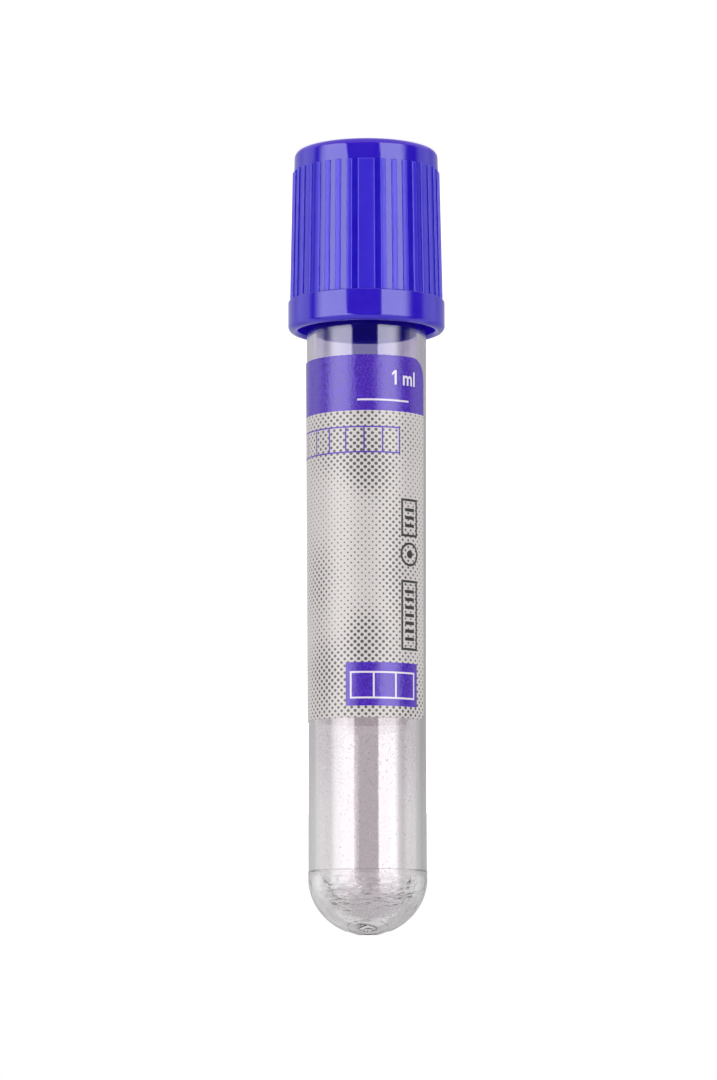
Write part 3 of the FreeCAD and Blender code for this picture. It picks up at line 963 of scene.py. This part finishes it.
class BLOODTUBE_OT_cap_shell(bpy.types.Operator):
    """Turn the closure's shell column by column and raise its grip ribs"""

    bl_idname = "bloodtube.cap_shell"
    bl_label = "Closure shell"

    def execute(self, context):
        closure = context.scene.blood_closure
        bm = bmesh.new()
        skirt_z = CAP_HEIGHT - closure.skirt_height
        ring_z = MOUTH_Z + closure.ring_gap
        ring_end_z = ring_z + closure.ring_height
        crown_low = closure.ground_low + closure.relief
        nearest = MERGE * 10
        rib_rounding = 0.12 * MM
        profile = (
            (closure.port + closure.port_chamfer, 0, 0.06),
            (closure.band_radius, 0, 0.70),
            (closure.ground_top, closure.band_height, 0),
            (closure.ground_low, skirt_z, 0),
            (crown_low, skirt_z, 0),
            (CAP_RADIUS, skirt_z, 0.12),
            (CAP_RADIUS, CAP_HEIGHT, 0.65),
            (closure.skirt_mouth, CAP_HEIGHT, 0.40),
            (closure.pocket, ring_end_z + closure.ring_gap, 0),
            (closure.ring_radius, ring_end_z, 0.06),
            (closure.ring_radius, ring_z, 0.06),
            (closure.pocket, ring_z, 0),
            (closure.pocket, closure.top, 0),
            (closure.port, closure.top, 0),
        )
        draw_profile(bm, (closure.port, closure.port_chamfer), profile, 6, 3, closed=True)

        # columns of faces, with edges where the sides of the ribs are
        middle = (closure.ground_top + closure.ground_low) / 2 + closure.relief
        narrow = 2 * math.asin(closure.rib / 2 / middle)
        wide = 2 * math.asin(closure.wide_rib / 2 / middle)
        pitch = (math.pi / 2 - 2 * closure.first_rib) / (closure.ribs - 1)
        first_gap = closure.first_rib - (wide + narrow) / 2
        stretches = [(wide / 2, 3, True), (first_gap, 2, False)]
        for _ in range(closure.ribs - 1):
            stretches += [(narrow, 2, True), (pitch - narrow, 2, False)]
        stretches += [(narrow, 2, True), (first_gap, 2, False), (wide / 2, 3, True)]
        edge_of_sweep = bm.verts[:] + bm.edges[:]
        rib_faces = []
        for angle, steps, ribbed in stretches * 4:
            known = set(bm.faces)
            swept = bmesh.ops.spin(
                bm, geom=edge_of_sweep, cent=ORIGIN, axis=UP, angle=angle, steps=steps
            )
            edge_of_sweep = swept["geom_last"]
            if ribbed:
                rib_faces += [face for face in bm.faces if face not in known]
        tidy(bm)

        # raise the ribs
        def on_ground(face):
            """Does the face lie on the ribs' ground, between the band and the skirt?"""
            middle = face.calc_center_median()
            outward = face.normal.dot(Vector((middle.x, middle.y, 0)).normalized())
            level = closure.band_height < middle.z < skirt_z
            return level and outward > 0.9 and from_axis(middle) > closure.pocket + 0.3 * MM

        def on_shoulder(face):
            """Does the face lie on the skirt's shoulder, where a rib ends?"""
            level = all(abs(vertex.co.z - skirt_z) < nearest for vertex in face.verts)
            reach = max(from_axis(vertex.co) for vertex in face.verts)
            return level and reach < crown_low + nearest

        rib_columns = [face for face in rib_faces if face.is_valid]
        shoulders = [face for face in rib_columns if on_shoulder(face)]
        rib_faces = [face for face in rib_columns if on_ground(face)]
        raised = bmesh.ops.extrude_face_region(bm, geom=rib_faces)["geom"]
        moved = set(only_verts(raised))
        for vertex in moved:
            radius = from_axis(vertex.co)
            vertex.co.xy *= (radius + closure.relief) / radius
        # a rib's lower end lies on the shoulder, so neither face stays there
        ends = [face for face in bm.faces if on_shoulder(face) and not moved.isdisjoint(face.verts)]
        bmesh.ops.delete(bm, geom=rib_faces, context="FACES_ONLY")
        bmesh.ops.delete(bm, geom=shoulders + ends, context="FACES")
        loose = [edge for edge in bm.edges if not edge.link_faces]
        bmesh.ops.delete(bm, geom=loose, context="EDGES")
        tidy(bm, nearest)

        # soften the ribs' edges
        ridge = []
        for edge in bm.edges:
            middle = (edge.verts[0].co + edge.verts[1].co) / 2
            share = (middle.z - closure.band_height) / (skirt_z - closure.band_height)
            ground = closure.ground_top + share * (closure.ground_low - closure.ground_top)
            raised_here = from_axis(middle) - ground > closure.relief * 0.7
            sharp = edge.calc_face_angle(0) > math.radians(50)
            if -0.01 < share < 0.999 and raised_here and sharp:
                ridge.append(edge)
        bevel(bm, ridge, rib_rounding, 4, "EDGES")
        front = Matrix.Rotation(FRONT, 3, "Z")
        bmesh.ops.rotate(bm, verts=bm.verts[:], cent=ORIGIN, matrix=front)
        material = closure_plastic(closure)
        finished(bm, "ribbed_cap", [material], "closure", "cap_plastic", "cap_shell", crease=50)
        return {"FINISHED"}


class BLOODTUBE_OT_stopper(bpy.types.Operator):
    """Turn the rubber stopper with its plug, cup and needle dimple"""

    bl_idname = "bloodtube.stopper"
    bl_label = "Stopper"

    def execute(self, context):
        closure, tube = context.scene.blood_closure, context.scene.blood_tube
        bm = bmesh.new()
        bore = MOUTH_RADIUS - tube.mouth_wall - closure.plug_clearance
        dimple_z = STOPPER_TOP_Z + closure.dimple_depth
        cup_z = PLUG_END_Z - closure.cup_depth
        plug_taper, cup_taper = 0.03 * MM, 0.5 * MM
        profile = (
            (closure.dimple_radius, dimple_z, 0.40),
            (closure.dimple_radius + closure.dimple_depth / 2, STOPPER_TOP_Z, 0.10),
            (FLANGE_RADIUS, STOPPER_TOP_Z, 0.15),
            (FLANGE_RADIUS, MOUTH_Z, 0.15),
            (bore, MOUTH_Z, 0),
            (bore - plug_taper, PLUG_END_Z, 0.5),
            (closure.cup_radius, PLUG_END_Z, 0.5),
            (closure.cup_radius - cup_taper, cup_z, 0.5),
            (0, cup_z, 0),
        )
        draw_profile(bm, (0, dimple_z), profile, 5, 5)
        spin_whole(bm, TURN_STEPS)
        material = stopper_rubber(closure)
        finished(bm, "stopper", [material], "closure", "stopper_rubber", "rubber_stopper")
        return {"FINISHED"}


class BLOODTUBE_OT_additive(bpy.types.Operator):
    """Scatter the dried additive over the inside of the tube"""

    bl_idname = "bloodtube.additive"
    bl_label = "Dried additive"

    def execute(self, context):
        additive, tube = context.scene.blood_additive, context.scene.blood_tube
        end_bore, shoulder, tip, base, pole = bore_end(tube)
        mouth_bore = MOUTH_RADIUS - tube.mouth_wall
        flat = 0.3  # a speck's height as a share of its width
        chance = random.Random(7)
        bm = bmesh.new()
        for _ in range(additive.specks):
            angle = chance.uniform(0, math.tau)
            size = additive.smallest + (additive.largest - additive.smallest) * chance.random() ** 3
            around = Vector((math.cos(angle), math.sin(angle), 0))
            depth = chance.random() ** 1.5 * (tip - LABEL_END_Z + 1.0 * MM)
            z = LABEL_END_Z - 1.0 * MM + depth
            if z < base:
                share = (z - MOUTH_Z) / (base - MOUTH_Z)
                radius = mouth_bore + share * (end_bore - mouth_bore)
                out = around
                foot = around * radius + Vector((0, 0, z))
            else:
                lean = chance.uniform(0.05, 1.0) * math.pi / 2
                out = around * math.sin(lean) + Vector((0, 0, math.cos(lean)))
                if lean > math.atan2(end_bore - shoulder, pole - shoulder):
                    foot = Vector((0, 0, base)) + around * (end_bore - shoulder) + out * shoulder
                else:
                    foot = Vector((0, 0, tip - pole)) + out * pole
            place = Matrix.Translation(foot - out * size * (flat + 0.04))
            turned = out.to_track_quat("Z", "Y").to_matrix().to_4x4()
            flattened = place @ turned @ Matrix.Diagonal((1, 1, flat, 1))
            bmesh.ops.create_icosphere(bm, subdivisions=1, radius=size, matrix=flattened)
        material = dried_salt(additive)
        finished(
            bm, "dried_specks", [material], "tube_body", "dried_additive", "edta_additive", crease=180
        )
        return {"FINISHED"}


class BLOODTUBE_OT_studio(bpy.types.Operator):
    """Set up the floor, the backdrop, the lamps, the reflected panels and the camera"""

    bl_idname = "bloodtube.studio"
    bl_label = "Studio"

    def execute(self, context):
        studio = context.scene.blood_studio
        self.floor(studio)
        self.world(context, studio)
        self.surround(studio)
        self.lamp("left_lamp", -52, studio.lamp)
        self.lamp("right_lamp", 47, studio.lamp)
        self.lamp("rear_lamp", 180, 0.8 * studio.lamp)
        self.camera(context, studio)
        context.scene.view_settings.view_transform = "Standard"
        return {"FINISHED"}

    def staged(self, bm, name, material):
        mesh = bpy.data.meshes.new(name)
        bm.to_mesh(mesh)
        bm.free()
        mesh.materials.append(material)
        made = bpy.data.objects.new(name, mesh)
        bpy.context.scene.collection.objects.link(made)
        return made

    def floor(self, studio):
        finish = Finish("pale_floor")
        plain = finish.node("ShaderNodeBsdfDiffuse", sockets={"Color": studio.floor})
        glow = finish.white_glow(finish.ray("Is Camera Ray") * 0.35 + 0.45)
        both = finish.node("ShaderNodeAddShader", sockets={0: plain, 1: glow})
        bm = bmesh.new()
        half_width = 6.0  # metres
        low = Matrix.Translation((0, 0, -FLOOR_GAP))
        bmesh.ops.create_grid(bm, x_segments=1, y_segments=1, size=half_width, matrix=low)
        floor = self.staged(bm, "floor", finish.done(both))
        floor.visible_glossy = False
        floor.visible_transmission = False

    def world(self, context, studio):
        """Fill light, white to the camera and to mirrored rays and dimmer to refracted ones."""
        world = bpy.data.worlds.new("studio")
        context.scene.world = world
        finish = Finish("studio", world)
        seen = finish.ray("Is Camera Ray")
        through = finish.ray("Is Transmission Ray")
        whole = seen.at_least(finish.ray("Is Glossy Ray")).at_least(through * 0.4)
        strength = studio.fill + whole * (1 - studio.fill)
        finish.done(
            finish.node("ShaderNodeBackground", sockets={"Color": WHITE, "Strength": strength})
        )

    def surround(self, studio):
        """A standing screen all round that only reflections and refractions see."""
        reach, lowest, highest = 1.2, -0.7, 1.0  # metres
        bm = bmesh.new()
        outline = Outline(bm, reach, lowest)
        outline.line(reach, highest)
        spin_whole(bm, TURN_STEPS)
        finish = Finish("reflected_panels")
        x, y, height = finish.parts(finish.place())
        # direction from the camera's side in degrees, + towards -X
        arctan = {"operation": "ARCTAN2"}
        side = finish.node("ShaderNodeMath", arctan, {0: x * -1.0, 1: y * -1.0}) * math.degrees(1)
        through = finish.ray("Is Transmission Ray")
        mirrored = finish.ray("Glossy Depth") > 0.5

        # two bright panels, the left one with a slanting edge, fainter higher up
        left = finish.between(side, -86.0, -65.0)
        left = left * finish.between(side - height * 16.0, -26.6, -25.6, 1.0, 0.0)
        right = finish.between(side, 21.5, 22.5) * finish.between(side, 54.0, 73.0, 1.0, 0.0)
        panels = (left + right) * finish.between(height, 0.30, 0.60, 1.0, 0.30 - through * 0.24)

        # the pale room behind the object
        room = finish.between(side, -96.0, -86.0, 1.3, 0.0) + finish.between(side, 86.0, 96.0)
        room = room * finish.between(abs(side), 112.0, 130.0, 1.0, 0.5)
        room = room * finish.between(height, 0.30, 0.60, 1.0, 1 - through * 0.35)
        overhead = finish.between(height, 0.0, 0.30, 0.15, 1.0)
        strength = panels * studio.panel + room + through * overhead * studio.room + studio.dark
        # straight through the tube this side looks as plain as the other
        strength = strength * mirrored + (1 - mirrored) * studio.behind
        made = self.staged(bm, "reflected_panels", finish.done(finish.white_glow(strength)))
        made.visible_camera = False
        made.visible_diffuse = False
        made.visible_shadow = False

    def lamp(self, name, side, power):
        """A large soft lamp that lights but is not mirrored."""
        light = bpy.data.lights.new(name, "AREA")
        light.shape = "RECTANGLE"
        light.size, light.size_y = 0.8, 1.0  # metres
        light.energy = power
        lamp = bpy.data.objects.new(name, light)
        bpy.context.scene.collection.objects.link(lamp)
        reach, rise, middle = 1.15, math.radians(18), 40 * MM
        turned = math.radians(side)
        lamp.location = (
            -math.sin(turned) * math.cos(rise) * reach,
            -math.cos(turned) * math.cos(rise) * reach,
            math.sin(rise) * reach + middle,
        )
        aim = Vector((0, 0, middle)) - lamp.location
        lamp.rotation_euler = aim.to_track_quat("-Z", "Y").to_euler()
        lamp.visible_glossy = False
        lamp.visible_transmission = False

    def camera(self, context, studio):
        data = bpy.data.cameras.new("camera")
        data.lens = studio.lens
        camera = bpy.data.objects.new("camera", data)
        context.scene.collection.objects.link(camera)
        camera.location = (studio.aside, -studio.distance, studio.eye_height)
        camera.rotation_euler = (studio.tilt - math.pi / 2, studio.roll, math.pi)
        context.scene.camera = camera


# ---------------------------------------------------------------- panel and registration
STEPS = (
    BLOODTUBE_OT_tube,
    BLOODTUBE_OT_label,
    BLOODTUBE_OT_volume_mark,
    BLOODTUBE_OT_cap_shell,
    BLOODTUBE_OT_stopper,
    BLOODTUBE_OT_additive,
    BLOODTUBE_OT_studio,
)
SETTINGS = {
    "blood_tube": TubeSettings,
    "blood_label": LabelSettings,
    "blood_closure": ClosureSettings,
    "blood_additive": AdditiveSettings,
    "blood_studio": StudioSettings,
}


class BLOODTUBE_PT_sidebar(bpy.types.Panel):
    """Lists the steps that build the tube, and their settings"""

    bl_label = "Blood Tube"
    bl_idname = "BLOODTUBE_PT_sidebar"
    bl_space_type = "VIEW_3D"
    bl_region_type = "UI"
    bl_category = "Blood Tube"

    def draw(self, context):
        for step in STEPS:
            self.layout.operator(step.bl_idname)
        for name, group in SETTINGS.items():
            self.layout.label(text=group.__doc__)
            for setting in group.__annotations__:
                self.layout.prop(getattr(context.scene, name), setting)


CLASSES = (*SETTINGS.values(), *STEPS, BLOODTUBE_PT_sidebar)


def register():
    for each in CLASSES:
        bpy.utils.register_class(each)
    for name, group in SETTINGS.items():
        setattr(bpy.types.Scene, name, PointerProperty(type=group))


def unregister():
    for name in SETTINGS:
        delattr(bpy.types.Scene, name)
    for each in reversed(CLASSES):
        bpy.utils.unregister_class(each)


def main():
    register()
    bpy.ops.bloodtube.tube()
    bpy.ops.bloodtube.label()
    bpy.ops.bloodtube.volume_mark()
    bpy.ops.bloodtube.cap_shell()
    bpy.ops.bloodtube.stopper()
    bpy.ops.bloodtube.additive()
    bpy.ops.bloodtube.studio()


if __name__ == "__main__":
    main()
